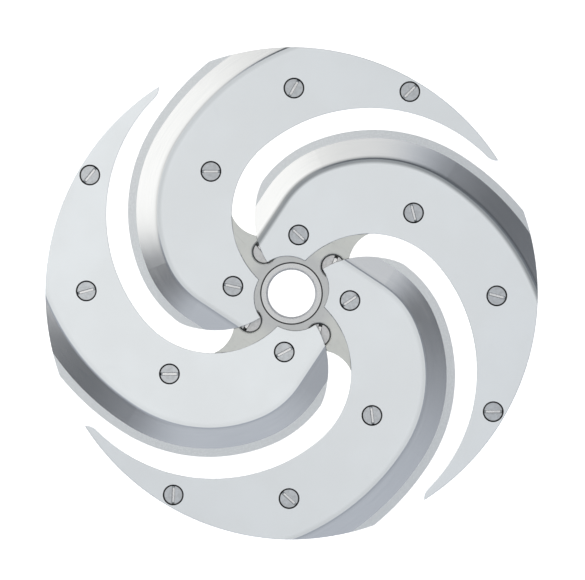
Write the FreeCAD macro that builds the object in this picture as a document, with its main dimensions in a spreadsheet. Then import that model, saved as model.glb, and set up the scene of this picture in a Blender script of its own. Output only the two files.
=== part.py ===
import FreeCAD, Part
import math
import os
import Sketcher

# Slicing disc of a food processor, seen from the food side: a hub with four curved arms (the carrier), a
# flanged hub bush, and four sickle blades screwed to the arms. Millimetres, +Z up along the shaft, origin on
# the bore's axis in the plane that the hub stands on. The disc cuts when it turns counterclockwise.

ARMS = 4
STEP = 360 / ARMS

# Driving dimensions

SIZES = {
    # disc
    "disc_r": 115.0,            # rim of the blades
    # heights of the hub, from the rear face up
    "flange_t": 6.0,            # rear flange of the bush
    "carrier_t": 10.0,          # hub of the carrier, on the flange
    "web_t": 8.0,               # roots between the arms, down from the hub's face
    "seat_depth": 3.35,         # seat plane below the hub's face, on the axis
    "arm_t": 5.5,               # arms under the blades
    # lean of each blade: it rises in this direction of its own frame, so that its edge stands above the
    # tail of the blade ahead by the thickness of a slice
    "lean": 3.3,
    "lean_dir": 120.0,
    # blade plate
    "blade_t": 3.0,
    "edge_t": 0.3,              # left at the cutting edge
    "land_w": 3.9,              # thin flat strip along the edge
    "land_t": 0.7,              # thickness where the land meets the hollow
    "hollow_w": 9.75,
    "hollow_r": 80.0,
    "step_w": 0.75,             # steep step that the wheel leaves at the inner border of the hollow
    "step_h": 0.4,
    # cutting edge: three tangent arcs, from the rim inwards
    "cut_outer_r": 123.4,
    "cut_outer_x": 12.8,
    "cut_outer_within": 31.15,  # its circle's side towards +Y lies this far inside the rim
    "cut_outer_turn": 57.5,     # direction, from its centre, where the next arc takes over
    "cut_middle_r": 75.85,
    "cut_middle_turn": 112.5,
    "cut_inner_r": 53.6,
    "cut_inner_turn": 144.5,    # end of the cutting edge
    "grind_turn": 146.5,        # from here the grind runs straight out over the end
    "grind_rim_turn": 10.0,     # as far as this the grind runs out past the rim
    # inner end
    "nose_r": 32.0,
    "end_r": 38.8,
    "end_x": 21.5,
    "end_y": 35.25,
    "end_turn": 170.0,          # where the nose meets the end
    "hub_arc_r": 16.4,          # hollow round the hub
    "hub_arc_x": -2.05,
    "hub_arc_y": 1.25,
    # trailing edge: two tangent arcs
    "trail_inner_r": 42.0,
    "trail_outer_r": 77.4,
    "trail_inner_x": 36.2782,
    "trail_inner_y": -13.998,
    "trail_outer_past": 0.3326, # its circle reaches this far past the rim
    "tip_r": 6.0,               # tail rounded off from the trailing edge to a corner on the rim
    "tip_w": 2.5886,            # width of the tail at that corner
    # arms of the carrier, kept back under the blade
    "lead_back": 11.0,
    "trail_back": 1.5,
    "rim_back": 1.6,
    "arm_tip_r": 4.5,
    "arm_tip_w": 0.1493,
    "boss_r": 30.5,
    "root_r": 16.1,             # bottom of a slot
    "root_x": 42.7,
    "root_y": 13.1,
    "root_hidden": 1.2,         # the roots' covered corners, kept inside the blades' outline
    "seat_gap": 0.1,            # round a blade in its seat
    # bush
    "bore_r": 11.0,
    "bore_chamfer": 0.8,
    "spigot_r": 14.25,
    "flange_r": 29.0,
    "rear_chamfer": 0.8,
    "drive_w": 10.0,
    "drive_depth": 3.5,
    "bush_gap": 0.05,
    # blade screws, M5 slotted countersunk
    "screw_r": 2.5,
    "head_r": 4.4,
    "head_sink": 0.35,
    "screw_len": 8.0,
    "slot_w": 1.2,
    "slot_depth": 1.1,
    # hub screws, M6 slotted countersunk
    "hub_screw_r": 3.0,
    "hub_head_r": 5.25,
    "hub_head_sink": 0.45,
    "hub_screw_len": 12.0,
    "hub_slot_w": 1.6,
    "hub_slot_depth": 1.4,
    "hub_circle_r": 23.2,
    "hub_angle": 33.3,
    "recess_r": 6.1,
    "recess_depth": 2.7,
    # fits
    "thread_gap": 0.05,
    "cone_gap": 0.05,
    "clear_hole": 0.2,
    # blade screws in a blade's frame, the outer three by their distance in from the rim
    "root_screw_r": 27.65,
    "root_screw_dir": 83.28,
    "middle_screw_in": 46.8,
    "middle_screw_dir": 33.57,
    "tail_inner_screw_in": 19.2,
    "tail_inner_screw_dir": -0.64,
    "tail_outer_screw_in": 5.7,
    "tail_outer_screw_dir": -30.4,
}

# Directions that the screws' slots point in, blade by blade.
SLOT_DIRECTIONS = {
    "root": (-43, -12, 28, 34),
    "middle": (-75, 0, 0, -83),
    "tail_inner": (-15, 60, 15, -42),
    "tail_outer": (0, 45, 51, 88),
}
HUB_SLOT_DIRECTIONS = (70, -48, 59, 80)

OVER = 1.0          # by how much a cutting shape overshoots the solid


def size(name):
    return SIZES[name]


# Plane geometry

ORIGIN = (0.0, 0.0)


def polar(radius, degrees, centre=ORIGIN):
    angle = math.radians(degrees)
    return (centre[0] + radius * math.cos(angle), centre[1] + radius * math.sin(angle))


def direction(point, centre=ORIGIN):
    return math.degrees(math.atan2(point[1] - centre[1], point[0] - centre[0]))


def meet(centre_a, radius_a, centre_b, radius_b, near):
    """The crossing of two circles that lies nearest to a point."""
    dx = centre_b[0] - centre_a[0]
    dy = centre_b[1] - centre_a[1]
    gap = math.hypot(dx, dy)
    along = (radius_a ** 2 - radius_b ** 2 + gap ** 2) / (2 * gap)
    across = math.sqrt(radius_a ** 2 - along ** 2)
    found = []
    for side in (1, -1):
        x = centre_a[0] + (along * dx - side * across * dy) / gap
        y = centre_a[1] + (along * dy + side * across * dx) / gap
        found.append((x, y))
    return min(found, key=lambda p: math.hypot(p[0] - near[0], p[1] - near[1]))


def arc_centre(start, end, radius):
    """Centre of an arc through two points, on the left of the way between them."""
    dx = end[0] - start[0]
    dy = end[1] - start[1]
    chord = math.hypot(dx, dy)
    rise = math.sqrt(radius ** 2 - chord ** 2 / 4)
    return ((start[0] + end[0]) / 2 - rise * dy / chord, (start[1] + end[1]) / 2 + rise * dx / chord)


CUT_OUTER = (size("cut_outer_x"), size("disc_r") - size("cut_outer_within") - size("cut_outer_r"))
CUT_MIDDLE = polar(size("cut_outer_r") - size("cut_middle_r"), size("cut_outer_turn"), CUT_OUTER)
CUT_INNER = polar(size("cut_middle_r") - size("cut_inner_r"), size("cut_middle_turn"), CUT_MIDDLE)
END = (size("end_x"), size("end_y"))
HUB_ARC = (size("hub_arc_x"), size("hub_arc_y"))
TRAIL_INNER = (size("trail_inner_x"), size("trail_inner_y"))
TRAIL_OUTER = meet(TRAIL_INNER, size("trail_outer_r") - size("trail_inner_r"),
                   ORIGIN, size("disc_r") + size("trail_outer_past") - size("trail_outer_r"),
                   (0, -size("disc_r")))
TRAIL_TURN = direction(TRAIL_INNER, TRAIL_OUTER)
ROOT = (size("root_x"), size("root_y"))

HUB_TOP = size("flange_t") + size("carrier_t")
SEAT_Z = HUB_TOP - size("seat_depth")
RECESS_Z = HUB_TOP - size("recess_depth")

# Document and sheet

doc = FreeCAD.newDocument("slicing_disc")
sheet = doc.addObject("Spreadsheet::Sheet", "Sizes")
rows = []


def cell(name, value):
    """Put one number in the sheet, in the next free row, and name it."""
    rows.append(name)
    sheet.set("A%d" % len(rows), name)
    sheet.set("B%d" % len(rows), repr(float(value)))
    sheet.setAlias("B%d" % len(rows), name)
    return value


def outline(corners, edges=None):
    """Closed outline, with its corners put in the sheet: corners are (name, point); each edge to the next
    corner is None for a line, or the radius's cell, the radius, the arc's centre and +1 for
    counterclockwise or -1 for clockwise."""
    for name, point in corners:
        cell(name + "_x", point[0])
        cell(name + "_y", point[1])
    return corners, edges or [None] * len(corners)


def spot(name, point):
    """A named centre, with its place put in the sheet."""
    cell(name + "_x", point[0])
    cell(name + "_y", point[1])
    return name, point


for size_name, size_value in SIZES.items():
    cell(size_name, size_value)
cell("hub_top", HUB_TOP)
cell("seat_z", SEAT_Z)
cell("recess_z", RECESS_Z)
cell("seat_cut", size("blade_t") + size("seat_depth"))
cell("runout_len", size("disc_r") / 2)
THREAD_R = cell("thread_r", size("screw_r") + size("thread_gap"))
HUB_THREAD_R = cell("hub_thread_r", size("hub_screw_r") + size("thread_gap"))
HOUSING_R = cell("housing_r", size("spigot_r") + size("bush_gap"))

# Outlines


def tip_of(rim_r, trail_r, tip_r, width):
    """Rounding of a tail from the trailing edge to a corner on the rim: its two ends and its centre."""
    on_rim = meet(ORIGIN, rim_r, TRAIL_OUTER, trail_r + width, polar(rim_r, -45))
    inside = polar(rim_r - tip_r, direction(on_rim) + 5)
    centre = meet(TRAIL_OUTER, trail_r + tip_r, on_rim, tip_r, inside)
    on_trail = polar(trail_r, direction(centre, TRAIL_OUTER), TRAIL_OUTER)
    return on_rim, on_trail, centre


def plate_outline():
    """Blade seen from above: cutting edge, nose, inner end, hollow round the hub, trailing edge, rim."""
    rim_r = size("disc_r")
    inner_turn = polar(size("cut_inner_r"), size("cut_inner_turn"), CUT_INNER)
    nose_end = polar(size("end_r"), size("end_turn"), END)
    tip = tip_of(rim_r, size("trail_outer_r"), size("tip_r"), size("tip_w"))
    tip_rim, tip_trail, tip_centre = tip
    corners = [
        ("plate_rim_cut", meet(ORIGIN, rim_r, CUT_OUTER, size("cut_outer_r"), polar(rim_r, 20))),
        ("plate_outer_turn", polar(size("cut_outer_r"), size("cut_outer_turn"), CUT_OUTER)),
        ("plate_middle_turn", polar(size("cut_middle_r"), size("cut_middle_turn"), CUT_MIDDLE)),
        ("plate_inner_turn", inner_turn),
        ("plate_nose_end", nose_end),
        ("plate_toe", meet(END, size("end_r"), HUB_ARC, size("hub_arc_r"), nose_end)),
        ("plate_heel", meet(HUB_ARC, size("hub_arc_r"), TRAIL_INNER, size("trail_inner_r"), polar(10, 90))),
        ("plate_trail_turn", polar(size("trail_outer_r"), TRAIL_TURN, TRAIL_OUTER)),
        ("plate_tip_trail", tip_trail),
        ("plate_tip_rim", tip_rim),
    ]
    edges = [
        ("cut_outer_r", size("cut_outer_r"), CUT_OUTER, 1),
        ("cut_middle_r", size("cut_middle_r"), CUT_MIDDLE, 1),
        ("cut_inner_r", size("cut_inner_r"), CUT_INNER, 1),
        ("nose_r", size("nose_r"), arc_centre(inner_turn, nose_end, size("nose_r")), 1),
        ("end_r", size("end_r"), END, 1),
        ("hub_arc_r", size("hub_arc_r"), HUB_ARC, -1),
        ("trail_inner_r", size("trail_inner_r"), TRAIL_INNER, -1),
        ("trail_outer_r", size("trail_outer_r"), TRAIL_OUTER, -1),
        ("tip_r", size("tip_r"), tip_centre, 1),
        ("disc_r", rim_r, ORIGIN, 1),
    ]
    return outline(corners, edges)


def grind_section(name, radius):
    """Section of what the grinding takes off, at one radius of the edge: step, hollow and land."""
    top = size("blade_t")
    above = top + OVER
    land = (radius - size("land_w"), size("land_t"))
    border = (land[0] - size("hollow_w"), top)
    foot = (border[0] + size("step_w"), top - size("step_h"))
    crown = (border[0] - OVER * size("step_w") / size("step_h"), above)
    slope = (size("edge_t") - size("land_t")) / size("land_w")
    corners = [
        (name + "_crown", crown),
        (name + "_foot", foot),
        (name + "_land", land),
        (name + "_outside", (radius + OVER, size("edge_t") + slope * OVER)),
        (name + "_above", (radius + OVER, above)),
    ]
    hollow = ("hollow_r", size("hollow_r"), arc_centre(foot, land, size("hollow_r")), 1)
    return outline(corners, [None, hollow, None, None, None])


def slot_bottom():
    """Ends of a slot's bottom: at one blade's trailing edge, and at the inner end of the blade behind."""
    behind = (END[1], -END[0])
    horn = meet(ROOT, size("root_r"), TRAIL_INNER, size("trail_inner_r"), polar(size("root_r"), 120, ROOT))
    inner = meet(ROOT, size("root_r"), behind, size("end_r"), polar(size("root_r"), 170, ROOT))
    return horn, inner


def root_outline():
    """Root between two arms: the bottom of a slot shows, the rest lies under the blades or in the hub."""
    horn, inner = slot_bottom()
    hidden = size("root_hidden")
    under_behind = polar(math.hypot(*inner) - hidden, direction(inner) - 4)
    under_ahead = polar(math.hypot(*horn) - hidden, direction(horn) + 6)
    corners = [
        ("root_centre", ORIGIN),
        ("root_under_behind", under_behind),
        ("root_inner", inner),
        ("root_horn", horn),
        ("root_under_ahead", under_ahead),
    ]
    return outline(corners, [None, None, ("root_r", size("root_r"), ROOT, -1), None, None])


def arm_outline():
    """Arm under the blade: the same arcs, kept back from the edges, and run into the hub."""
    lead = size("lead_back")
    rim_r = cell("arm_rim_r", size("disc_r") - size("rim_back"))
    outer_r = cell("arm_cut_outer_r", size("cut_outer_r") - lead)
    middle_r = cell("arm_cut_middle_r", size("cut_middle_r") - lead)
    inner_r = cell("arm_cut_inner_r", size("cut_inner_r") - lead)
    trail_inner_r = cell("arm_trail_inner_r", size("trail_inner_r") + size("trail_back"))
    trail_outer_r = cell("arm_trail_outer_r", size("trail_outer_r") + size("trail_back"))
    neck_dir = direction(slot_bottom()[1]) + STEP - 3
    tip = tip_of(rim_r, trail_outer_r, size("arm_tip_r"), size("arm_tip_w"))
    tip_rim, tip_trail, tip_centre = tip
    heel = meet(ORIGIN, size("spigot_r") + OVER, TRAIL_INNER, trail_inner_r, polar(size("spigot_r"), 70))
    corners = [
        ("arm_rim_cut", meet(ORIGIN, rim_r, CUT_OUTER, outer_r, polar(rim_r, 10))),
        ("arm_outer_turn", polar(outer_r, size("cut_outer_turn"), CUT_OUTER)),
        ("arm_middle_turn", polar(middle_r, size("cut_middle_turn"), CUT_MIDDLE)),
        ("arm_inner_turn", polar(inner_r, size("grind_turn"), CUT_INNER)),
        ("arm_neck", polar(size("boss_r") - OVER, neck_dir)),
        ("arm_heel", heel),
        ("arm_trail_turn", polar(trail_outer_r, TRAIL_TURN, TRAIL_OUTER)),
        ("arm_tip_trail", tip_trail),
        ("arm_tip_rim", tip_rim),
    ]
    edges = [
        ("arm_cut_outer_r", outer_r, CUT_OUTER, 1),
        ("arm_cut_middle_r", middle_r, CUT_MIDDLE, 1),
        ("arm_cut_inner_r", inner_r, CUT_INNER, 1),
        None,
        None,
        ("arm_trail_inner_r", trail_inner_r, TRAIL_INNER, -1),
        ("arm_trail_outer_r", trail_outer_r, TRAIL_OUTER, -1),
        ("arm_tip_r", size("arm_tip_r"), tip_centre, 1),
        ("arm_rim_r", rim_r, ORIGIN, 1),
    ]
    return outline(corners, edges)


def seat_outline():
    """Seat of a blade's inner end in the hub's face: the blade's own arcs with a gap round them."""
    end_r = cell("seat_end_r", size("end_r") + size("seat_gap"))
    hub_r = cell("seat_hub_r", size("hub_arc_r") - size("seat_gap"))
    trail_r = cell("seat_trail_r", size("trail_inner_r") - size("seat_gap"))
    past_horn = polar(trail_r, direction(slot_bottom()[0], TRAIL_INNER) - 15, TRAIL_INNER)
    nose = polar(end_r, size("end_turn"), END)
    far = past_horn[1] + nose[1]
    corners = [
        ("seat_nose", nose),
        ("seat_toe", meet(END, end_r, HUB_ARC, hub_r, nose)),
        ("seat_heel", meet(HUB_ARC, hub_r, TRAIL_INNER, trail_r, polar(10, 90))),
        ("seat_past_horn", past_horn),
        ("seat_far_right", (past_horn[0], far)),
        ("seat_far_left", (nose[0], far)),
    ]
    edges = [
        ("seat_end_r", end_r, END, 1),
        ("seat_hub_r", hub_r, HUB_ARC, -1),
        ("seat_trail_r", trail_r, TRAIL_INNER, -1),
        None,
        None,
        None,
    ]
    return outline(corners, edges)


def bush_section():
    bore = size("bore_r")
    chamfer = size("bore_chamfer")
    flange = size("flange_r")
    rear = size("rear_chamfer")
    return outline([
        ("bush_bore_rear", (bore, rear)),
        ("bush_bore_rear_out", (bore + rear, 0)),
        ("bush_rear", (flange - rear, 0)),
        ("bush_rim_low", (flange, rear)),
        ("bush_rim_top", (flange, size("flange_t"))),
        ("bush_step", (size("spigot_r"), size("flange_t"))),
        ("bush_top", (size("spigot_r"), HUB_TOP)),
        ("bush_top_in", (bore + chamfer, HUB_TOP)),
        ("bush_bore_top", (bore, HUB_TOP - chamfer)),
    ])


def bar_outline(name, half_length, width):
    """Rectangle across the axis, for a slot."""
    return outline([
        (name + "_near_left", (-half_length, -width / 2)),
        (name + "_near_right", (half_length, -width / 2)),
        (name + "_far_right", (half_length, width / 2)),
        (name + "_far_left", (-half_length, width / 2)),
    ])


def screw_section(prefix):
    """Half section of a countersunk screw, head's face at 0 and shank down."""
    name = prefix + "screw_section"
    shank_r = size(prefix + "screw_r")
    head_r = size(prefix + "head_r")
    low = -size(prefix + "screw_len")
    return outline([
        (name + "_axis_top", (0.0, 0.0)),
        (name + "_axis_low", (0.0, low)),
        (name + "_shank_low", (shank_r, low)),
        (name + "_shank_top", (shank_r, shank_r - head_r)),
        (name + "_head", (head_r, 0.0)),
    ])


PLATE = plate_outline()
GRIND_OUTER = grind_section("grind_outer", size("cut_outer_r"))
GRIND_MIDDLE = grind_section("grind_middle", size("cut_middle_r"))
GRIND_INNER = grind_section("grind_inner", size("cut_inner_r"))
ROOTS = root_outline()
ARM = arm_outline()
SEAT = seat_outline()
BUSH = bush_section()
DRIVE = bar_outline("drive", size("flange_r") + OVER, size("drive_w"))
SCREW = screw_section("")
SCREW_SLOT = bar_outline("screw_slot", size("head_r") + OVER, size("slot_w"))
HUB_SCREW = screw_section("hub_")
HUB_SCREW_SLOT = bar_outline("hub_screw_slot", size("hub_head_r") + OVER, size("hub_slot_w"))
SCREW_SPOTS = {}
for kind in SLOT_DIRECTIONS:
    away = size("root_screw_r") if kind == "root" else size("disc_r") - size(kind + "_screw_in")
    centre = polar(away, size(kind + "_screw_dir"))
    SCREW_SPOTS[kind] = spot(kind + "_screw", centre)
HUB_SPOTS = []
for number in range(ARMS):
    centre = polar(size("hub_circle_r"), size("hub_angle") + STEP * number)
    HUB_SPOTS.append(spot("hub_screw_%d" % (number + 1), centre))
doc.recompute()

# Sketches and features


def datum(body, role):
    return [f for f in body.Origin.OriginFeatures if f.Role == role][0]


def new_body(name):
    body = doc.addObject("PartDesign::Body", name)
    body.Label = name
    return body


def new_sketch(body, name, height=None, offset=None):
    """A sketch on the body's XY plane, on that plane at a height's cell, or moved by an offset."""
    sketch = body.newObject("Sketcher::SketchObject", name)
    sketch.AttachmentSupport = [(datum(body, "XY_Plane"), "")]
    sketch.MapMode = "FlatFace"
    if offset is not None:
        sketch.AttachmentOffset = offset
    if height is not None:
        sketch.setExpression(".AttachmentOffset.Base.z", "Sizes." + height)
    return sketch


def leaning():
    """The seat plane of the first arm, in the disc's frame."""
    axis = FreeCAD.Vector(*polar(1, size("lean_dir") - 90), 0)
    return FreeCAD.Placement(FreeCAD.Vector(0, 0, SEAT_Z), FreeCAD.Rotation(axis, size("lean")))


def arm_placement(number):
    turn = FreeCAD.Rotation(FreeCAD.Vector(0, 0, 1), STEP * (number - 1))
    return FreeCAD.Placement(FreeCAD.Vector(), turn) * leaning()


def upright(centre=ORIGIN, degrees=0):
    """A vertical plane through a centre: x points out in a direction, y points up."""
    out = FreeCAD.Vector(*polar(1, degrees), 0)
    up = FreeCAD.Vector(0, 0, 1)
    turn = FreeCAD.Rotation(out, up, out.cross(up), "ZXY")
    return FreeCAD.Placement(FreeCAD.Vector(*centre, 0), turn)


def bind(sketch, constraint, alias):
    index = sketch.addConstraint(constraint)
    sketch.setExpression("Constraints[%d]" % index, "Sizes." + alias)


def bind_point(sketch, index, end, name, point):
    for axis, value in zip("XY", point):
        constraint = Sketcher.Constraint("Distance" + axis, -1, 1, index, end, value)
        bind(sketch, constraint, "%s_%s" % (name, axis.lower()))


def draw(sketch, shape):
    """Draw an outline with its radii and corners bound to the sheet."""
    corners, edges = shape
    count = len(corners)
    starts = []
    ends = []
    for i in range(count):
        here = corners[i][1]
        there = corners[(i + 1) % count][1]
        if edges[i] is None:
            line = Part.LineSegment(FreeCAD.Vector(*here, 0), FreeCAD.Vector(*there, 0))
            index = sketch.addGeometry(line)
            starts.append((index, 1))
            ends.append((index, 2))
            continue
        alias, radius, centre, sense = edges[i]
        first, last = (here, there) if sense > 0 else (there, here)
        begin = math.radians(direction(first, centre))
        finish = math.radians(direction(last, centre))
        if finish <= begin:
            finish += 2 * math.pi
        circle = Part.Circle(FreeCAD.Vector(*centre, 0), FreeCAD.Vector(0, 0, 1), radius)
        index = sketch.addGeometry(Part.ArcOfCircle(circle, begin, finish))
        starts.append((index, 1 if sense > 0 else 2))
        ends.append((index, 2 if sense > 0 else 1))
        bind(sketch, Sketcher.Constraint("Radius", index, radius), alias)
    for i in range(count):
        sketch.addConstraint(Sketcher.Constraint("Coincident", *ends[i], *starts[(i + 1) % count]))
    for i in range(count):
        bind_point(sketch, *starts[i], *corners[i])


def draw_circle(sketch, alias, radius, centre=None):
    """A circle on the origin, or on a named centre, with its radius bound to the sheet."""
    name, point = centre or (None, ORIGIN)
    index = sketch.addGeometry(Part.Circle(FreeCAD.Vector(*point, 0), FreeCAD.Vector(0, 0, 1), radius))
    bind(sketch, Sketcher.Constraint("Radius", index, radius), alias)
    if centre is None:
        sketch.addConstraint(Sketcher.Constraint("Coincident", index, 3, -1, 1))
    else:
        bind_point(sketch, index, 3, name, point)


def pad(body, sketch, name, length, down=False):
    feature = body.newObject("PartDesign::Pad", name)
    feature.Profile = sketch
    feature.setExpression("Length", "Sizes." + length)
    feature.Reversed = down
    return feature


def turned(body, sketch, name):
    feature = body.newObject("PartDesign::Revolution", name)
    feature.Profile = sketch
    feature.ReferenceAxis = (sketch, ["V_Axis"])
    feature.Angle = 360
    return feature


def check_cut(feature, solid):
    """A cut that points away from the solid removes nothing and shows no error, so it is measured."""
    doc.recompute()
    if feature.Shape.Volume > solid.Volume - 1e-3:
        raise RuntimeError("%s removed nothing" % feature.Name)


def pocket(body, sketch, name, length=None, up=False):
    doc.recompute()
    solid = body.Shape.copy()
    feature = body.newObject("PartDesign::Pocket", name)
    feature.Profile = sketch
    if length is None:
        feature.Type = "ThroughAll"
    else:
        feature.setExpression("Length", "Sizes." + length)
    feature.Reversed = up
    check_cut(feature, solid)
    return feature


def groove(body, sketch, name, sweep, clockwise):
    doc.recompute()
    solid = body.Shape.copy()
    feature = body.newObject("PartDesign::Groove", name)
    feature.Profile = sketch
    feature.ReferenceAxis = (sketch, ["V_Axis"])
    feature.Angle = sweep
    feature.Reversed = clockwise
    check_cut(feature, solid)
    return feature


def countersunk_holes(body, sketch, name, prefix):
    """Through holes for screws, with cones in which the heads sit just below the face."""
    doc.recompute()
    solid = body.Shape.copy()
    feature = body.newObject("PartDesign::Hole", name)
    feature.Profile = sketch
    feature.DepthType = "ThroughAll"
    feature.setExpression("Diameter", "2 * (Sizes.%sscrew_r + Sizes.clear_hole)" % prefix)
    feature.HoleCutType = "Countersink"
    head = "Sizes.{0}head_r + Sizes.{0}head_sink + Sizes.cone_gap".format(prefix)
    feature.setExpression("HoleCutDiameter", "2 * (%s)" % head)
    feature.HoleCutCountersinkAngle = 90
    check_cut(feature, solid)
    return feature


def round_the_axis(body, name, features):
    """Repeat features for every arm."""
    pattern = body.newObject("PartDesign::PolarPattern", name)
    pattern.Originals = features
    pattern.Axis = (datum(body, "Z_Axis"), [""])
    pattern.Angle = 360
    pattern.Occurrences = ARMS
    body.Tip = pattern
    doc.recompute()
    return pattern


# Pieces


def make_blade(number):
    """Sickle blade: a flat plate, hollow-ground along the three arcs of its edge and out over its end."""
    name = "blade_%d" % number
    body = new_body(name)
    plate = new_sketch(body, name + "_plate")
    draw(plate, PLATE)
    pad(body, plate, name + "_pad", "blade_t")
    outer = size("cut_outer_turn")
    middle = size("cut_middle_turn")
    last = size("grind_turn")
    grinds = (
        ("outer", GRIND_OUTER, CUT_OUTER, outer, outer - size("grind_rim_turn"), True),
        ("middle", GRIND_MIDDLE, CUT_MIDDLE, outer, middle - outer, False),
        ("inner", GRIND_INNER, CUT_INNER, middle, last - middle, False),
    )
    for place, section, centre, start, sweep, clockwise in grinds:
        sketch = new_sketch(body, "%s_grind_%s_section" % (name, place), offset=upright(centre, start))
        draw(sketch, section)
        groove(body, sketch, "%s_grind_%s" % (name, place), sweep, clockwise)
    runout = new_sketch(body, name + "_runout_section", offset=upright(CUT_INNER, last))
    draw(runout, GRIND_INNER)
    pocket(body, runout, name + "_runout", "runout_len")
    holes = new_sketch(body, name + "_hole_centres", height="blade_t")
    for centre in SCREW_SPOTS.values():
        draw_circle(holes, "screw_r", size("screw_r"), centre)
    countersunk_holes(body, holes, name + "_holes", "")
    body.Placement = arm_placement(number)
    return body


def make_carrier():
    """Carrier: hub, four roots and four leaning arms, with a seat in the hub's face for each blade."""
    body = new_body("carrier")
    boss = new_sketch(body, "carrier_boss", height="flange_t")
    draw_circle(boss, "boss_r", size("boss_r"))
    pad(body, boss, "carrier_boss_pad", "carrier_t")
    root = new_sketch(body, "carrier_root", height="hub_top")
    draw(root, ROOTS)
    root_pad = pad(body, root, "carrier_root_pad", "web_t", True)
    arm = new_sketch(body, "carrier_arm", offset=leaning())
    draw(arm, ARM)
    arm_pad = pad(body, arm, "carrier_arm_pad", "arm_t", True)
    round_the_axis(body, "carrier_arms", [root_pad, arm_pad])

    seat = new_sketch(body, "carrier_seat", offset=leaning())
    draw(seat, SEAT)
    seat_cut = pocket(body, seat, "carrier_seat_cut", "seat_cut", True)
    recess = new_sketch(body, "carrier_recess", height="hub_top")
    draw_circle(recess, "recess_r", size("recess_r"), HUB_SPOTS[0])
    recess_cut = pocket(body, recess, "carrier_recess_cut", "recess_depth")
    threads = new_sketch(body, "carrier_threads", offset=leaning())
    for centre in SCREW_SPOTS.values():
        draw_circle(threads, "thread_r", THREAD_R, centre)
    thread_cut = pocket(body, threads, "carrier_thread_cut", "carrier_t")
    round_the_axis(body, "carrier_cuts", [seat_cut, recess_cut, thread_cut])

    hub_holes = new_sketch(body, "carrier_hub_holes", height="recess_z")
    for centre in HUB_SPOTS:
        draw_circle(hub_holes, "hub_screw_r", size("hub_screw_r"), centre)
    countersunk_holes(body, hub_holes, "carrier_hub_hole_cuts", "hub_")
    bore = new_sketch(body, "carrier_bore", height="hub_top")
    draw_circle(bore, "housing_r", HOUSING_R)
    pocket(body, bore, "carrier_bore_cut")
    return body


def make_bush():
    """Hub bush: spigot through the carrier, rear flange with four threads and the shaft's drive slot."""
    body = new_body("hub_bush")
    section = new_sketch(body, "hub_bush_section", offset=upright())
    draw(section, BUSH)
    turned(body, section, "hub_bush_turned")
    threads = new_sketch(body, "hub_bush_threads")
    for centre in HUB_SPOTS:
        draw_circle(threads, "hub_thread_r", HUB_THREAD_R, centre)
    pocket(body, threads, "hub_bush_thread_cuts", "flange_t", True)
    drive = new_sketch(body, "hub_bush_drive")
    draw(drive, DRIVE)
    pocket(body, drive, "hub_bush_drive_cut", "drive_depth", True)
    return body


def make_screw(name, section, slot, slot_depth, placement):
    """Slotted countersunk screw."""
    body = new_body(name)
    half = new_sketch(body, name + "_section", offset=upright())
    draw(half, section)
    turned(body, half, name + "_turned")
    bar = new_sketch(body, name + "_slot")
    draw(bar, slot)
    pocket(body, bar, name + "_slot_cut", slot_depth)
    body.Placement = placement
    return body


def blade_screw(number, kind):
    point = SCREW_SPOTS[kind][1]
    turn = FreeCAD.Rotation(FreeCAD.Vector(0, 0, 1), SLOT_DIRECTIONS[kind][number - 1] - STEP * (number - 1))
    head = FreeCAD.Placement(FreeCAD.Vector(*point, size("blade_t") - size("head_sink")), turn)
    name = "blade_%d_%s_screw" % (number, kind)
    return make_screw(name, SCREW, SCREW_SLOT, "slot_depth", arm_placement(number) * head)


def hub_screw(number):
    point = HUB_SPOTS[number - 1][1]
    turn = FreeCAD.Rotation(FreeCAD.Vector(0, 0, 1), HUB_SLOT_DIRECTIONS[number - 1])
    head = FreeCAD.Placement(FreeCAD.Vector(*point, RECESS_Z - size("hub_head_sink")), turn)
    return make_screw("hub_screw_%d" % number, HUB_SCREW, HUB_SCREW_SLOT, "hub_slot_depth", head)


# Build and write

parts = [make_carrier(), make_bush()]
for number in range(1, ARMS + 1):
    parts.append(make_blade(number))
    for kind in SLOT_DIRECTIONS:
        parts.append(blade_screw(number, kind))
    parts.append(hub_screw(number))
doc.recompute()

for item in doc.Objects:
    if "Invalid" in item.State or "Error" in item.State:
        raise RuntimeError("%s failed: %s" % (item.Name, item.State))
for body in parts:
    if body.Shape.isNull() or not body.Shape.isValid() or len(body.Shape.Solids) != 1:
        raise RuntimeError("%s is not one valid solid" % body.Label)

os.makedirs("parts", exist_ok=True)
for body in parts:
    body.Shape.exportStep("parts/%s.step" % body.Label)
    box = body.Shape.optimalBoundingBox(False)
    print("%-28s %9.1f mm3  z %.2f to %.2f" % (body.Label, body.Shape.Volume, box.ZMin, box.ZMax))
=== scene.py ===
import math

import bmesh
import bpy
from mathutils import Matrix, Vector


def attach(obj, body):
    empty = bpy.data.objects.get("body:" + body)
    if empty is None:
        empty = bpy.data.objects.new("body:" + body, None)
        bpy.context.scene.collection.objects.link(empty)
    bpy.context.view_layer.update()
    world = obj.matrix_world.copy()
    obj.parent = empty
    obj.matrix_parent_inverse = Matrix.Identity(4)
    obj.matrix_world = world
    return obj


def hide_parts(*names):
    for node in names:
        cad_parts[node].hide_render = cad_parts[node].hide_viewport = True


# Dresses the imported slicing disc: satin steel blades with ground bevels, a matt machined carrier, a turned
# hub bush and worn slotted screws. Metres and degrees, in the frame of the CAD nodes.

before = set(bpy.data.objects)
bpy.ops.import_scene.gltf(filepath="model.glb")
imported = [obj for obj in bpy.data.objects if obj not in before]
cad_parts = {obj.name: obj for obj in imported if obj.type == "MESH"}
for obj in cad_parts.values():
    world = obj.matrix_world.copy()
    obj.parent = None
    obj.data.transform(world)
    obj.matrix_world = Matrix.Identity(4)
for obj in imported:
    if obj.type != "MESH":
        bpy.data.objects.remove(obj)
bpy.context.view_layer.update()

MM = 0.001
ARMS = 4
STEP = 360 / ARMS

# Sizes shared with the CAD source

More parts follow.
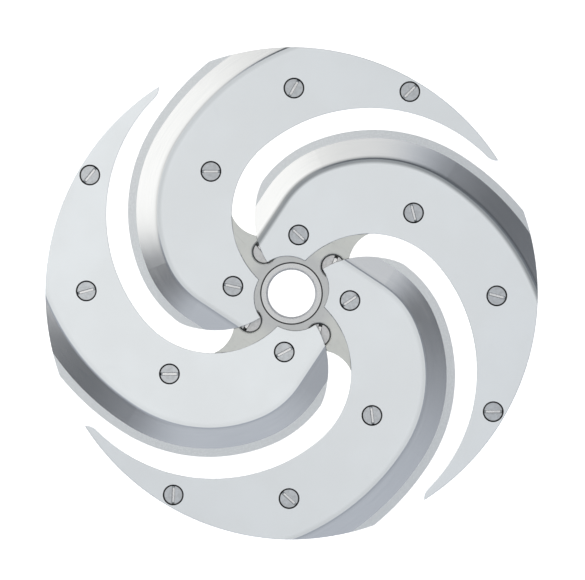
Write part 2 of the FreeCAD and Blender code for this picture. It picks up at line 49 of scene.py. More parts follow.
HUB_TOP = 16.0 * MM
WEB_T = 8.0 * MM                # roots of the carrier, down from the hub's face
SEAT_Z = 12.65 * MM             # seats of the blades, on the axis
RECESS_Z = 13.3 * MM            # floors of the hub screws' recesses
BORE_R = 11.0 * MM
JOINT_R = 14.28 * MM            # joint between bush and carrier
BOSS_R = 30.5 * MM
BLADE_T = 3.0 * MM
LEAN = 3.3
LEAN_DIR = 120.0
LAND = 3.9 * MM                 # from the cutting edge in to the hollow
BEVEL = 13.65 * MM              # from the cutting edge in to the hollow's inner border

# centre and radius of the cutting edge's three arcs, in a blade's own plane
EDGE_ARCS = (
    ((12.8 * MM, -39.55 * MM), 123.4 * MM),
    ((38.348 * MM, 0.554 * MM), 75.85 * MM),
    ((29.833 * MM, 21.110 * MM), 53.6 * MM),
)
EDGE_TURNS = (57.5, 112.5)      # directions in which one arc takes over from the last
GRIND_TURN = 146.5              # from here the grind runs straight out over the blade's end
TRAIL_CENTRE = (36.278 * MM, -13.998 * MM)
TRAIL_R = 42.0 * MM
SLOT_END = (42.7 * MM, 13.1 * MM)
SLOT_END_R = 16.1 * MM

SCREW = {"shank": 2.5 * MM, "head": 4.4 * MM, "length": 8.0 * MM, "slot": 1.2 * MM, "deep": 1.1 * MM,
         "sink": 0.35 * MM, "pitch": 0.8 * MM}
HUB_SCREW = {"shank": 3.0 * MM, "head": 5.25 * MM, "length": 12.0 * MM, "slot": 1.6 * MM, "deep": 1.4 * MM,
             "sink": 0.45 * MM, "pitch": 1.0 * MM}
# radius and direction of each blade's screws, and the way that their slots point in the four blades
BLADE_SCREWS = {
    "root": (27.65 * MM, 83.28, (-43, -12, 28, 34)),
    "middle": (68.2 * MM, 33.57, (-75, 0, 0, -83)),
    "tail_inner": (95.8 * MM, -0.64, (-15, 60, 15, -42)),
    "tail_outer": (109.3 * MM, -30.4, (0, 45, 51, 88)),
}
HUB_CIRCLE = 23.2 * MM
HUB_ANGLE = 33.3
HUB_SLOTS = (70, -48, 59, 80)

# Sizes of wear and small forms that only the scene has

SEAM = 0.02 * MM                # between the root wedges and the carrier's own faces
WEDGE_BACK = -0.1 * MM          # their faces stop this far short of the blades' trailing edges
WEDGE_TUCK = 2.2 * MM           # and their feet reach this far on under the blades
WEDGE_FOOT = 0.3 * MM           # tops of the feet, above the seats on the axis
WEDGE_IN_BOSS = 1.0 * MM
WEDGE_SIDE = 4.5                # turn of their inner side past the horn beside the slot's bottom
ROUND = 48                      # points round a screw
RIM_WEAR = 0.16 * MM
SLOT_ROUND = 0.15 * MM          # corners at the bottom of a driver's slot
SLOT_LIP = 0.08 * MM            # how far its mouth is opened
LIP_DEPTH = 0.12 * MM
SCREW_TIP = 0.6 * MM
THREAD_DEPTH = 0.3              # share of the pitch
THREAD_ROWS = 6                 # rows of points in one turn
THREAD_START = 0.2 * MM         # plain neck under the head

# The photograph's frame

PICTURE_WIDTH = 585             # pixels
PIXEL = 0.4667 * MM             # what one pixel covers on the disc
PICTURE_MIDDLE = (0.47 * MM, 1.59 * MM, 14 * MM)
CAMERA_TIP = 0.4                # off the vertical
CAMERA_TIP_DIR = 45

# Brightness of the studio's parts, and their tints

STUDIO_TURN = -30               # the picture's lower right corner, from which the walls' bearings count
ROOM = 0.05
ROOM_HIGH = 0.09
ROOM_MIDDLE = 0.50
NEAR_WALL = 0.48
NEAR_LAMP = 0.12                # share of the near wall's light in a narrow patch at its end
FAR_WALL = 0.79
LEFT_WALL = (0.35, 1.18)        # from the far wall on, and past the middle
LEFT_WALL_LOW = 0.35            # share of it that is left low down
LOW_LEFT = 0.20
OVERHEAD = 1.04
BELOW = 0.35
DIM_TINT = (0.92, 0.98, 1.09, 1.0)
BRIGHT_TINT = (1.0, 1.0, 0.99, 1.0)


# Plane geometry


def polar(radius, degrees, centre=(0.0, 0.0)):
    a = math.radians(degrees)
    return centre[0] + radius * math.cos(a), centre[1] + radius * math.sin(a)


def bearing_of(point, centre=(0.0, 0.0)):
    return math.degrees(math.atan2(point[1] - centre[1], point[0] - centre[0]))


def meet(centre, radius, other, other_radius, near):
    """The crossing of two circles that lies nearest to a point."""
    dx, dy = other[0] - centre[0], other[1] - centre[1]
    gap = math.hypot(dx, dy)
    along = (radius ** 2 - other_radius ** 2 + gap ** 2) / (2 * gap)
    across = math.sqrt(radius ** 2 - along ** 2)
    found = []
    for side in (1, -1):
        found.append((centre[0] + (along * dx - side * across * dy) / gap,
                      centre[1] + (along * dy + side * across * dx) / gap))
    return min(found, key=lambda p: math.hypot(p[0] - near[0], p[1] - near[1]))


def leaves(degrees, centre, radius):
    """How far from the axis a line in a direction leaves a circle."""
    ux, uy = polar(1.0, degrees)
    middle = centre[0] * ux + centre[1] * uy
    return middle + math.sqrt(middle ** 2 - centre[0] ** 2 - centre[1] ** 2 + radius ** 2)


def turned(degrees):
    return Matrix.Rotation(math.radians(degrees), 4, "Z")


def blade_frame(number):
    """Matrix from a blade's own plane, where its lower face lies, to the disc's frame."""
    axis = Vector((*polar(1.0, LEAN_DIR - 90), 0.0))
    lean = Matrix.Rotation(math.radians(LEAN), 4, axis)
    return turned(STEP * (number - 1)) @ Matrix.Translation((0, 0, SEAT_Z)) @ lean


# Shader maths


class Value:
    """A shader socket that carries a number, with Python's operators."""

    def __init__(self, nodes, socket):
        self.nodes = nodes
        self.socket = socket

    def maths(self, operation, *terms):
        return self.nodes.add("ShaderNodeMath", {"operation": operation}, dict(enumerate(terms)))

    def __add__(self, other):
        return self.maths("ADD", self, other)

    __radd__ = __add__

    def __sub__(self, other):
        return self.maths("SUBTRACT", self, other)

    def __rsub__(self, other):
        return self.maths("SUBTRACT", other, self)

    def __mul__(self, other):
        return self.maths("MULTIPLY", self, other)

    __rmul__ = __mul__

    def __truediv__(self, other):
        return self.maths("DIVIDE", self, other)

    def __abs__(self):
        return self.maths("ABSOLUTE", self)

    def __pow__(self, power):
        return self.maths("POWER", self, power)

    def low(self, other):
        return self.maths("MINIMUM", self, other)

    def high(self, other):
        return self.maths("MAXIMUM", self, other)

    def past(self, edge):
        """1 above the edge, 0 below it."""
        return self.maths("GREATER_THAN", self, edge)

    def rise(self, none, full):
        """0 at the first value and before it, 1 at the second and beyond, smooth between."""
        if none > full:
            return 1 - self.rise(full, none)
        span = {"Value": self, "From Min": none, "From Max": full}
        return self.nodes.add("ShaderNodeMapRange", {"interpolation_type": "SMOOTHSTEP"}, span)

    def band(self, centre, half, soft):
        """1 within half of the centre, fading over soft."""
        return abs(self - centre).rise(half + soft, half)


class Nodes:
    """The node tree of one material or world, and the only place that makes its nodes."""

    def __init__(self, tree):
        self.tree = tree
        tree.nodes.clear()

    def add(self, kind, settings=None, inputs=None, output=0):
        node = self.tree.nodes.new(kind)
        for name, value in (settings or {}).items():
            setattr(node, name, value)
        for name, value in (inputs or {}).items():
            if isinstance(value, Value):
                self.tree.links.new(value.socket, node.inputs[name])
            else:
                node.inputs[name].default_value = value
        return Value(self, node.outputs[output]) if node.outputs else None

    def outputs(self, kind, inputs=None):
        """All the outputs of a new node, by name."""
        first = self.add(kind, None, inputs)
        return {socket.name: Value(self, socket) for socket in first.socket.node.outputs}

    def place(self):
        """Object coordinates."""
        return self.outputs("ShaderNodeTexCoord")["Object"]

    def attribute(self, name):
        """A number that the mesh carries on its points."""
        return self.add("ShaderNodeAttribute", {"attribute_name": name}, None, "Fac")

    def mix(self, share, first, second):
        """A colour between two colours."""
        colours = {0: share, 6: first, 7: second}
        return self.add("ShaderNodeMix", {"data_type": "RGBA"}, colours, 2)

    def vector(self, operation, *terms, output=0):
        return self.add("ShaderNodeVectorMath", {"operation": operation}, dict(enumerate(terms)), output)

    def split(self, vector):
        parts = self.outputs("ShaderNodeSeparateXYZ", {0: vector})
        return parts["X"], parts["Y"], parts["Z"]

    def join(self, x, y, z):
        return self.add("ShaderNodeCombineXYZ", None, {"X": x, "Y": y, "Z": z})

    def noise(self, at, scale, detail=3.0, rough=0.5, twist=0.0):
        sizes = {"Scale": scale, "Detail": detail, "Roughness": rough, "Distortion": twist}
        return self.add("ShaderNodeTexNoise", None, {"Vector": at, **sizes})

    def bump(self, height, depth, before=None):
        """Normal from a height in the range 0 to 1 that stands for a depth in metres."""
        inputs = {"Height": height, "Distance": depth}
        if before is not None:
            inputs["Normal"] = before
        return self.add("ShaderNodeBump", None, inputs)

    def worn_edges(self, radius):
        """Normal that rounds sharp edges."""
        return self.add("ShaderNodeBevel", {"samples": 6}, {"Radius": radius})

    def metal(self, colour, roughness, normal, metallic=1.0):
        finish = {"Base Color": colour, "Roughness": roughness, "Metallic": metallic, "Normal": normal}
        shader = self.add("ShaderNodeBsdfPrincipled", None, finish)
        self.add("ShaderNodeOutputMaterial", None, {"Surface": shader})


def material(name):
    made = bpy.data.materials.new(name)
    made.use_nodes = True
    return made, Nodes(made.node_tree)


def grey(level, warm=0.0, green=0.0):
    """A neutral metal colour; warm above 0 leans to beige, below 0 to blue."""
    return (level * (1 + 2 * warm), level * (1 + green), level * (1 - 1.6 * warm), 1.0)


# Colours, each pair a darker and a lighter patch of the same metal

FLAT_STEEL = (grey(0.735, -0.018), grey(0.775, -0.020))
SMEARED_STEEL = grey(0.68, -0.026)
BEVEL_STEEL = (grey(0.735, -0.002, 0.004), grey(0.77, 0.0, 0.004))
LAND_STEEL = (grey(0.84, -0.004, 0.012), grey(0.93, -0.003, 0.012))
UNDERSIDE_STEEL = (grey(0.50), grey(0.60))
# painted shade: a soft dark line along each bevel's inner border, its strength set blade by blade
BORDER_SHADE = grey(0.15, -0.05)
BORDER_PAINTED_SHADE = (0.74, 0.18, 0.08, 0.14)  # how dark the line along each bevel's inner border is
# painted shade in the gaps round the blades' screws, and on the screws' rims
SCREW_GAP_SHADE = grey(0.07)
SCREW_RIM_SHADE = grey(0.08)
JOINT_SHADE = grey(0.045)
CARRIER_GREY = (grey(0.635, 0.009, 0.034), grey(0.685, 0.012, 0.034))
CARRIER_HUB = grey(0.595, 0.000, 0.012)
CARRIER_SPECK = grey(0.45, 0.008)
BUSH_STEEL = (grey(0.61, -0.006), grey(0.67, -0.004))
BUSH_RING = grey(0.58)
BUSH_SPECK = grey(0.52)
# painted highlight along the bore's edge
BUSH_EDGE_HIGHLIGHT = grey(0.82)


# Finishes


def in_blade_plane(n, number):
    """Object coordinates in a blade's own plane, as three numbers."""
    at = n.place()
    to_plane = blade_frame(number).inverted()
    found = []
    for i in range(3):
        along = n.vector("DOT_PRODUCT", at, tuple(to_plane[i][:3]), output="Value")
        found.append(along + to_plane[i][3])
    return found


def inset_from_arc(x, y, arc):
    (cx, cy), radius = arc
    dx, dy = x - cx, y - cy
    return radius - (dx * dx + dy * dy) ** 0.5


def past_turn(x, y, degrees, centre):
    """1 where a point lies past a direction from a centre."""
    ux, uy = polar(1.0, degrees + 90)
    return ((x - centre[0]) * ux + (y - centre[1]) * uy).past(0.0)


def inset_from_edge(x, y):
    """How far a point of a blade's plane lies inside the cutting edge, from the arc that it belongs to."""
    inset = inset_from_arc(x, y, EDGE_ARCS[0])
    beyond = 1.0
    for turn, last, arc in zip(EDGE_TURNS, EDGE_ARCS, EDGE_ARCS[1:]):
        beyond = past_turn(x, y, turn, last[0]) * beyond
        inset = inset + (inset_from_arc(x, y, arc) - inset) * beyond
    (cx, cy), radius = EDGE_ARCS[-1]
    ux, uy = polar(1.0, GRIND_TURN)
    straight = radius - (x - cx) * ux - (y - cy) * uy
    return inset + (straight - inset) * (past_turn(x, y, GRIND_TURN, (cx, cy)) * beyond)


def screw_gap_shade(x, y, z):
    """1 in the narrow gaps round the heads of a blade's screws, where shade is painted."""
    nearest = 1.0
    for radius, angle, slots in BLADE_SCREWS.values():
        cx, cy = polar(radius, angle)
        dx, dy = x - cx, y - cy
        nearest = ((dx * dx + dy * dy) ** 0.5).low(nearest)
    rim = SCREW["head"] + SCREW["sink"] + 0.08 * MM
    return nearest.rise(rim + 0.12 * MM, rim) * z.rise(BLADE_T - 0.8 * MM, BLADE_T - 0.6 * MM)


def blade_steel(number):
    """Satin steel of one blade: ground land and bevel along the edge, faintly marked flat behind them."""
    made, n = material("blade_%d_steel" % number)
    x, y, z = in_blade_plane(n, number)
    plane = n.join(x, y, z)
    inset = inset_from_edge(x, y)
    on_land = inset.rise(LAND + 0.1 * MM, LAND - 0.1 * MM)
    on_bevel = inset.rise(BEVEL, BEVEL - 0.35 * MM)
    above_underside = z.rise(0.03 * MM, 0.08 * MM)

    clouds = n.noise(plane, 28.0, detail=4.0, rough=0.55)
    smears = n.noise(n.vector("MULTIPLY", plane, (1.0, 2.6, 1.0)), 60.0, detail=5.0, rough=0.6)
    specks = n.noise(plane, 1500.0, detail=2.0, rough=0.6)
    grit = n.noise(plane, 4200.0, detail=2.0, rough=0.7)
    grinding = n.noise(n.join(inset * 2600.0, x * 60.0, y * 60.0), 1.0, detail=3.0, rough=0.6)

    flat = n.mix(clouds.rise(0.35, 0.7), *FLAT_STEEL)
    flat = n.mix(smears.rise(0.62, 0.8) * 0.35, flat, SMEARED_STEEL)
    bevel = n.mix(grinding.rise(0.3, 0.75), *BEVEL_STEEL)
    land = n.mix(specks.rise(0.42, 0.72), *LAND_STEEL)
    underside = n.mix(specks.rise(0.3, 0.7), *UNDERSIDE_STEEL)
    border = inset.band(BEVEL + 0.2 * MM, 0.45 * MM, 1.9 * MM) * (0.8 + 0.4 * clouds)
    colour = n.mix(on_bevel, flat, bevel)
    # painted shade in a soft band along the hollow's inner border
    colour = n.mix(border * BORDER_PAINTED_SHADE[number - 1], colour, BORDER_SHADE)
    colour = n.mix(on_land, colour, land)
    colour = n.mix(above_underside, underside, colour)
    # painted shade in the narrow gaps round the screws' heads
    colour = n.mix(screw_gap_shade(x, y, z), colour, SCREW_GAP_SHADE)

    rough = 0.21 + 0.06 * (clouds - 0.5) + 0.04 * (specks - 0.5)
    rough = rough + on_bevel * (0.03 * (grinding - 0.5) - 0.02)
    rough = rough + on_land * 0.26
    # the wheel leaves the hollow slightly fuller across its middle, and the flat's border is worn rounder
    across = (inset - LAND).high(0.0).low(BEVEL - LAND) / (BEVEL - LAND)
    worn = 0.08 * MM + 0.27 * MM * inset.rise(BEVEL + 0.3 * MM, BEVEL + 0.8 * MM)
    fuller = n.bump(across * 3.4 - across * across * 3.0, 0.19 * MM, n.worn_edges(worn))
    texture = 0.5 * grit + 0.5 * specks + on_bevel * (grinding - 0.5) * 0.8
    n.metal(colour, rough, n.bump(texture, 0.0035 * MM, fuller), 1 - 0.45 * on_land)
    return made


def joint_shade(radius, z, none, full):
    """Dark line on the hub's face along the joint of bush and carrier."""
    return radius.rise(none, full) * z.rise(HUB_TOP - 0.2 * MM, HUB_TOP - 0.05 * MM)


def carrier_metal():
    """Matt beige-grey of the carrier, with the fine turned marks of its hub face."""
    made, n = material("carrier_metal")
    at = n.place()
    x, y, z = n.split(at)
    radius = (x * x + y * y) ** 0.5
    clouds = n.noise(at, 70.0, detail=4.0, rough=0.6)
    specks = n.noise(at, 1400.0, detail=3.0, rough=0.65)
    turning = n.noise(n.join(radius * 3600.0, z * 200.0, 0.0), 1.0, detail=2.0, rough=0.6)
    near_hub = radius.rise(24 * MM, 17 * MM)
    colour = n.mix(clouds.rise(0.3, 0.7), *CARRIER_GREY)
    colour = n.mix(near_hub, colour, CARRIER_HUB)
    colour = n.mix(specks.rise(0.58, 0.75) * 0.35, colour, CARRIER_SPECK)
    colour = n.mix(joint_shade(radius, z, JOINT_R + 0.44 * MM, JOINT_R + 0.26 * MM), colour, JOINT_SHADE)
    rough = 0.38 + 0.12 * (specks - 0.5) + 0.05 * (clouds - 0.5)
    n.metal(colour, rough, n.bump(0.6 * specks + 0.4 * turning, 0.006 * MM, n.worn_edges(0.15 * MM)))
    return made


def bush_steel():
    """Finely turned steel of the hub bush, with a painted highlight along the bore's edge."""
    made, n = material("bush_steel")
    at = n.place()
    x, y, z = n.split(at)
    radius = (x * x + y * y) ** 0.5
    turning = n.noise(n.join(radius * 5200.0, z * 5200.0, 0.0), 1.0, detail=2.0, rough=0.7)
    rings = n.noise(n.join(radius * 1500.0, 0.0, 0.0), 1.0, detail=1.0, rough=0.5)
    specks = n.noise(at, 1100.0, detail=3.0, rough=0.6)
    # painted highlight along the bore's edge: lighter, rougher and less metallic there
    edge = radius.rise(BORE_R + 1.1 * MM, BORE_R + 0.7 * MM) * z.rise(HUB_TOP - 1.0 * MM, HUB_TOP - 0.8 * MM)
    colour = n.mix(turning.rise(0.35, 0.65), *BUSH_STEEL)
    colour = n.mix(rings.rise(0.55, 0.7) * 0.3, colour, BUSH_RING)
    colour = n.mix(specks.rise(0.62, 0.75) * 0.4, colour, BUSH_SPECK)
    colour = n.mix(joint_shade(radius, z, JOINT_R - 0.38 * MM, JOINT_R - 0.20 * MM), colour, JOINT_SHADE)
    colour = n.mix(edge, colour, BUSH_EDGE_HIGHLIGHT)
    rough = 0.28 + 0.08 * (turning - 0.5) + 0.06 * (specks - 0.5) + 0.25 * edge
    n.metal(colour, rough, n.bump(turning, 0.004 * MM, n.worn_edges(0.1 * MM)), 1 - 0.7 * edge)
    return made


def screw_steel(name, level, warm):
    """Worn, mottled steel of the screws' heads; slots are painted lighter, partly as cleaner metal from the
    driver's blade and partly as a painted highlight, and the heads' rims carry painted shade.
    """
    made, n = material(name)
    at = n.place()
    mottle = n.noise(at, 520.0, detail=4.0, rough=0.7, twist=0.4)
    specks = n.noise(at, 1900.0, detail=3.0, rough=0.7)
    slot = n.attribute("in_slot")
    colour = n.mix(mottle.rise(0.32, 0.66), grey(level * 0.86, warm), grey(level * 1.10, warm))
    colour = n.mix(specks.rise(0.56, 0.72) * 0.5, colour, grey(level * 0.62, warm + 0.01))
    # slots painted lighter: cleaner metal and a painted highlight
    colour = n.mix(slot, colour, grey(level * 1.3))
    # painted shade on the head's worn rim, at the gap round the head
    colour = n.mix(n.attribute("rim_shade"), colour, SCREW_RIM_SHADE)
    rough = 0.36 + 0.2 * (mottle - 0.5) - 0.08 * slot
    n.metal(colour, rough, n.bump(0.5 * mottle + 0.5 * specks, 0.02 * MM))
    return made


# Objects


def linked(name, data):
    """A new object in the scene, at the origin."""
    made = bpy.data.objects.new(name, data)
    bpy.context.scene.collection.objects.link(made)
    return made


def object_from(name, bm):
    mesh = bpy.data.meshes.new(name)
    bm.to_mesh(mesh)
    bm.free()
    return linked(name, mesh)


def settle(made):
    """Turn an object and its modifiers into a plain mesh."""
    bpy.context.view_layer.update()
    graph = bpy.context.evaluated_depsgraph_get()
    mesh = bpy.data.meshes.new_from_object(made.evaluated_get(graph))
    made.modifiers.clear()
    made.data = mesh


# Wedges of the carrier


def wedge_outline(reach):
    """Outline of a wedge from the boss out to a circle round the trailing edge's centre."""
    steps = 16
    # the root's horn, where the slot's bottom meets the trailing edge
    horn = meet(SLOT_END, SLOT_END_R, TRAIL_CENTRE, TRAIL_R, polar(SLOT_END_R, 120, SLOT_END))
    root_side = bearing_of(horn) + WEDGE_SIDE
    boss = BOSS_R - WEDGE_IN_BOSS
    radius = TRAIL_R + reach
    first = bearing_of(polar(leaves(root_side, TRAIL_CENTRE, radius), root_side), TRAIL_CENTRE)
    last = bearing_of(meet((0.0, 0.0), boss, TRAIL_CENTRE, radius, polar(boss, 60)), TRAIL_CENTRE)
    outline = [polar(boss, root_side)]
    for i in range(steps + 1):
        outline.append(polar(radius, first + (last - first) * i / steps, TRAIL_CENTRE))
    return outline


def prism(vertices, faces, outline, low, high):
    """Upright closed prism on a counterclockwise outline."""
    start, count = len(vertices), len(outline)
    vertices += [(x, y, low) for x, y in outline] + [(x, y, high) for x, y in outline]
    faces.append([start + i for i in reversed(range(count))])
    faces.append([start + count + i for i in range(count)])
    for i in range(count):
        j = (i + 1) % count
        faces.append([start + i, start + j, start + count + j, start + count + i])


def root_wedges(finish):
    """Wedges that fill the roots out to the trailing edges: flush above, and on under the blades."""
    web_low = HUB_TOP - WEB_T
    vertices, faces = [], []
    prism(vertices, faces, wedge_outline(WEDGE_BACK), web_low + SEAM, HUB_TOP - SEAM)
    prism(vertices, faces, wedge_outline(WEDGE_TUCK), web_low + 2 * SEAM, SEAT_Z + WEDGE_FOOT)
    points, walls = [], []
    for number in range(ARMS):
        start = len(points)
        points += [tuple(turned(STEP * number) @ Vector(v)) for v in vertices]
        walls += [[start + i for i in face] for face in faces]
    mesh = bpy.data.meshes.new("carrier_root_wedges")
    mesh.from_pydata(points, [], walls)
    mesh.materials.append(finish)
    made = linked("carrier_root_wedges", mesh)
    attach(made, "root")


# Screws


class Build:
    """A Geometry Nodes tree with named inputs."""

    def __init__(self, name):
        self.tree = bpy.data.node_groups.new(name, "GeometryNodeTree")
        self.tree.interface.new_socket("Geometry", in_out="INPUT", socket_type="NodeSocketGeometry")
        self.sockets = {}
        self.start = self.tree.nodes.new("NodeGroupInput")

    def size(self, name, value):
        """A named input; its socket on the tree's start is given back."""
        socket = self.tree.interface.new_socket(name, in_out="INPUT", socket_type="NodeSocketFloat")
        socket.default_value = value
        self.sockets[name] = socket.identifier
        return self.start.outputs[name]

    def add(self, kind, settings=None, inputs=None):
        node = self.tree.nodes.new(kind)
        for key, value in (settings or {}).items():
            setattr(node, key, value)
        for key, value in (inputs or {}).items():
            if isinstance(value, bpy.types.NodeSocket):
                self.tree.links.new(value, node.inputs[key])
            else:
                node.inputs[key].default_value = value
        return node

    def finish(self, geometry, metal):
        real = self.add("GeometryNodeRealizeInstances", None, {0: geometry})
        painted = self.add("GeometryNodeSetMaterial", None, {0: real.outputs[0], "Material": metal})
        self.tree.interface.new_socket("Geometry", in_out="OUTPUT", socket_type="NodeSocketGeometry")
        self.add("NodeGroupOutput", None, {0: painted.outputs[0]})


def ring(bm, radius, z):
    """A round row of points; radius is a number, or a list with one for each point."""
    radii = radius if isinstance(radius, list) else [radius] * ROUND
    return [bm.verts.new((*polar(r, 360 * i / ROUND), z)) for i, r in enumerate(radii)]


def wall(bm, upper, lower):
    for i in range(ROUND):
        j = (i + 1) % ROUND
        bm.faces.new((upper[j], upper[i], lower[i], lower[j]))


def turn_head(bm, shank, head):
    """Face, worn rim, cone and neck; the neck's points are given back."""
    cone = head - shank
    outline = (
        (head - 2 * RIM_WEAR, 0.0),
        (head - RIM_WEAR, 0.0),
        (head - 0.3 * RIM_WEAR, -0.25 * RIM_WEAR),
        (head, -0.9 * RIM_WEAR),
        (head - 0.25 * cone, -0.25 * cone - 0.3 * RIM_WEAR),
        (shank + 0.02 * cone, -cone),
    )
    rings = [ring(bm, radius, z) for radius, z in outline]
    bm.faces.new(rings[0])
    for upper, lower in zip(rings, rings[1:]):
        wall(bm, upper, lower)
    return rings[-1]


def cut_thread(bm, neck, sizes):
    """Shank whose crest and root follow a helix, down to a bevelled tip."""
    shank, length, pitch = sizes["shank"], sizes["length"], sizes["pitch"]
    start = shank - sizes["head"] - THREAD_START
    last = neck
    for row in range(int((length + start) / pitch * THREAD_ROWS)):
        z = start - row * pitch / THREAD_ROWS
        above_tip = z + length
        fade = min(1.0, max(0.0, (start - z) / pitch), max(0.0, above_tip / SCREW_TIP))
        tapered = shank - max(0.0, SCREW_TIP - above_tip) * 0.5
        radii = []
        for i in range(ROUND):
            phase = (row / THREAD_ROWS + i / ROUND) % 1.0
            root = 1 - abs(phase - 0.5) * 2
            radii.append(tapered - THREAD_DEPTH * pitch * root * fade)
        lower = ring(bm, radii, z)
        wall(bm, last, lower)
        last = lower
    end = ring(bm, shank - 0.32 * SCREW_TIP - 0.2 * MM, -length)
    wall(bm, last, end)
    bm.faces.new(list(reversed(end)))


def slot_cutter(name, sizes):
    """Bar in the shape of a driver's slot, with rounded bottom corners and slightly opened lips."""
    half, deep, above = sizes["slot"] / 2, sizes["deep"], 0.3 * MM
    side = [
        (half - SLOT_ROUND, -deep),
        (half - 0.3 * SLOT_ROUND, -deep + 0.3 * SLOT_ROUND),
        (half, -deep + SLOT_ROUND),
        (half, -LIP_DEPTH),
        (half + SLOT_LIP, 0.0),
        (half + SLOT_LIP, above),
    ]
    section = [(-y, z) for y, z in reversed(side)] + side
    reach = sizes["head"] + 1.0 * MM
    bm = bmesh.new()
    ends = [[bm.verts.new((x, y, z)) for y, z in section] for x in (-reach, reach)]
    for i in range(len(section)):
        j = (i + 1) % len(section)
        bm.faces.new((ends[0][i], ends[0][j], ends[1][j], ends[1][i]))
    bm.faces.new(ends[0])
    bm.faces.new(list(reversed(ends[1])))
    bmesh.ops.recalc_face_normals(bm, faces=bm.faces)
    return object_from(name, bm)


def mark_head(mesh, sizes):
    """Mark the points of a slot's walls and floor, which the finish paints lighter, and of the head's rim,
    which it paints with shade.
    """
    half, deep, head = sizes["slot"] / 2, sizes["deep"], sizes["head"]
    in_slot = mesh.attributes.new("in_slot", "FLOAT", "POINT")
    rim_shade = mesh.attributes.new("rim_shade", "FLOAT", "POINT")
    for vertex in mesh.vertices:
        x, y, z = vertex.co
        inside = abs(y) < half + 0.02 * MM and -deep - 0.01 * MM < z < -0.15 * MM
        outside = math.hypot(x, y) > head - 1.3 * RIM_WEAR and z > -0.2 * MM
        in_slot.data[vertex.index].value = float(inside)
        rim_shade.data[vertex.index].value = float(outside)


def screw(name, sizes):
    """One slotted countersunk screw, its head's face at 0 and its shank down."""
    bm = bmesh.new()
    neck = turn_head(bm, sizes["shank"], sizes["head"])
    cut_thread(bm, neck, sizes)
    body = object_from(name, bm)
    cutter = slot_cutter(name + "_cutter", sizes)
    slot = body.modifiers.new("slot", "BOOLEAN")
    slot.operation = "DIFFERENCE"
    slot.solver = "EXACT"
    slot.object = cutter
    settle(body)
    bpy.data.objects.remove(cutter)
    mark_head(body.data, sizes)
    for face in body.data.polygons:
        face.use_smooth = abs(face.normal.z) < 0.9 and face.center.z < -0.05 * MM
    return body


def screws_on(name, pattern, spots, finish):
    """Copies of a screw, one for each spot: a matrix whose origin is the middle of a head's face."""
    mesh = bpy.data.meshes.new(name + "_spots")
    mesh.from_pydata([spot.to_translation() for spot in spots], [], [])
    turn = mesh.attributes.new("turn", "FLOAT_VECTOR", "POINT")
    for i, spot in enumerate(spots):
        turn.data[i].vector = spot.to_euler()
    made = linked(name, mesh)

    build = Build(name + "_set")
    scale = build.size("Screw size", 1.0)
    read = build.add("GeometryNodeInputNamedAttribute", {"data_type": "FLOAT_VECTOR"}, {"Name": "turn"})
    facing = build.add("FunctionNodeEulerToRotation", None, {0: read.outputs[0]})
    info = build.add("GeometryNodeObjectInfo", {"transform_space": "ORIGINAL"}, {"Object": pattern})
    placed = build.add("GeometryNodeInstanceOnPoints", None, {
        "Points": build.start.outputs[0], "Instance": info.outputs["Geometry"],
        "Rotation": facing.outputs[0], "Scale": scale})
    build.finish(placed.outputs[0], finish)
    modifier = made.modifiers.new("set", "NODES")
    modifier.node_group = build.tree
    modifier[build.sockets["Screw size"]] = 1.0
    settle(made)
    return made


def blade_screws(number, pattern, finish):
    spots, nodes = [], []
    for kind, (radius, angle, slots) in BLADE_SCREWS.items():
        at = (*polar(radius, angle), BLADE_T - SCREW["sink"])
        slot_turn = turned(slots[number - 1] - STEP * (number - 1))
        spots.append(blade_frame(number) @ Matrix.Translation(at) @ slot_turn)
        nodes.append("blade_%d_%s_screw" % (number, kind))
    made = screws_on("blade_%d_screws" % number, pattern, spots, finish)
    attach(made, "root")
    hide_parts(*nodes)


def hub_screws(pattern, finish):
    spots, nodes = [], []
    for number in range(1, ARMS + 1):
        at = (*polar(HUB_CIRCLE, HUB_ANGLE + STEP * (number - 1)), RECESS_Z - HUB_SCREW["sink"])
        spots.append(Matrix.Translation(at) @ turned(HUB_SLOTS[number - 1]))
        nodes.append("hub_screw_%d" % number)
    made = screws_on("hub_screws", pattern, spots, finish)
    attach(made, "root")
    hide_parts(*nodes)


def dress_screws():
    steel = screw_steel("screw_steel", 0.61, -0.016)
    hub_steel = screw_steel("hub_screw_steel", 0.64, 0.002)
    small = screw("blade_screw_pattern", SCREW)
    large = screw("hub_screw_pattern", HUB_SCREW)
    for number in range(1, ARMS + 1):
        blade_screws(number, small, steel)
    hub_screws(large, hub_steel)
    bpy.data.objects.remove(small)
    bpy.data.objects.remove(large)


# Studio


def studio_level(x, y, z):
    """Brightness of the studio in a direction, and how far the direction points at the overhead light."""
    ux, uy = polar(1.0, STUDIO_TURN)
    # -180 to 180, so that it wraps inside the left wall
    bearing = x.maths("ARCTAN2", y * ux - x * uy, x * ux + y * uy) * (180 / math.pi)
    high = z.rise(0.58, 0.82)
    middle = z.rise(0.12, 0.42)
    overhead = ((x * x + y * y) ** 0.5).rise(0.29, 0.17)

    near_wall = bearing.rise(-117, -86) * bearing.rise(65, -40) + NEAR_LAMP * bearing.band(-84, 4, 12)
    far_wall = bearing.rise(62, 106)
    left_wall = bearing.rise(128, 154) * LEFT_WALL[0] + bearing.rise(-135, -150) * LEFT_WALL[1]
    low_left = bearing.rise(138, 154) * (1 - high)
    gap = 1 - far_wall * bearing.rise(152, 138)

    sides = ROOM + ROOM_HIGH * high + ROOM_MIDDLE * (middle - high * middle) * gap
    sides = sides + NEAR_WALL * near_wall * high + FAR_WALL * far_wall * high
    sides = sides + left_wall * (LEFT_WALL_LOW + (1 - LEFT_WALL_LOW) * high) + LOW_LEFT * low_left
    level = sides + (OVERHEAD - sides) * overhead
    below = BELOW * z.rise(0.05, -0.25)
    return level * z.rise(-0.25, 0.05) + below, overhead


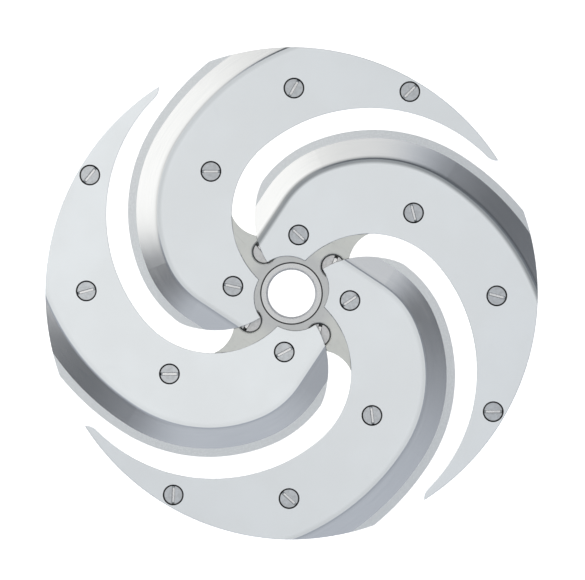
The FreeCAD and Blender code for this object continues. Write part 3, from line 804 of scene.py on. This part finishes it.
def studio_world():
    """Soft studio: bright overhead, a bright wall on the left, a far wall, a dimmer near one, dark floor."""
    world = bpy.data.worlds.new("studio")
    bpy.context.scene.world = world
    world.use_nodes = True
    n = Nodes(world.node_tree)
    level, overhead = studio_level(*n.split(n.outputs("ShaderNodeTexCoord")["Generated"]))
    tint = n.mix(overhead.high(level.rise(0.6, 1.0)), DIM_TINT, BRIGHT_TINT)
    rays = n.outputs("ShaderNodeLightPath")
    lit = n.add("ShaderNodeBackground", None, {"Color": tint, "Strength": level})
    plain = n.add("ShaderNodeBackground", None, {"Color": (1, 1, 1, 1), "Strength": 1.0})
    seen = rays["Is Camera Ray"].high(rays["Is Transmission Ray"])
    mixed = n.add("ShaderNodeMixShader", None, {0: seen, 1: lit, 2: plain})
    n.add("ShaderNodeOutputWorld", None, {"Surface": mixed})


def floor():
    """Wide white floor that the camera and reflections see as plain white, with the object's shadow."""
    reach = 30.0
    corners = [(-reach, -reach, 0), (reach, -reach, 0), (reach, reach, 0), (-reach, reach, 0)]
    mesh = bpy.data.meshes.new("floor")
    mesh.from_pydata(corners, [], [(0, 1, 2, 3)])
    made = linked("floor", mesh)
    paint, n = material("white_floor")
    rays = n.outputs("ShaderNodeLightPath")
    seen = rays["Is Camera Ray"].high(rays["Is Glossy Ray"]).high(rays["Is Transmission Ray"])
    matt = n.add("ShaderNodeBsdfDiffuse", None, {"Color": (0.9, 0.9, 0.9, 1.0)})
    glow = n.add("ShaderNodeEmission", None, {"Color": (1, 1, 1, 1), "Strength": 0.86})
    both = n.add("ShaderNodeAddShader", None, {0: glow, 1: matt})
    mixed = n.add("ShaderNodeMixShader", None, {0: seen, 1: matt, 2: both})
    n.add("ShaderNodeOutputMaterial", None, {"Surface": mixed})
    mesh.materials.append(paint)


def camera():
    """Almost straight down on the food side, through a long lens."""
    data = bpy.data.cameras.new("camera")
    data.lens = 320
    data.sensor_width = 36
    data.clip_start, data.clip_end = 0.05, 60
    distance = PICTURE_WIDTH * PIXEL * data.lens / data.sensor_width
    tip = math.radians(CAMERA_TIP)
    side = Vector((*polar(math.sin(tip), CAMERA_TIP_DIR), 0.0))
    back = (side + Vector((0, 0, math.cos(tip)))).normalized()
    right = Vector((0, 1, 0)).cross(back).normalized()
    up = back.cross(right)
    made = linked("camera", data)
    made.location = Vector(PICTURE_MIDDLE) + back * distance
    made.rotation_euler = Matrix((right, up, back)).transposed().to_euler()
    bpy.context.scene.camera = made


# The disc


def paint(node, finish):
    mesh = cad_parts[node].data
    mesh.materials.clear()
    mesh.materials.append(finish)


carrier_finish = carrier_metal()
paint("carrier", carrier_finish)
root_wedges(carrier_finish)
paint("hub_bush", bush_steel())
for number in range(1, ARMS + 1):
    paint("blade_%d" % number, blade_steel(number))
dress_screws()
studio_world()
floor()
camera()

bpy.context.scene.view_settings.view_transform = "Standard"
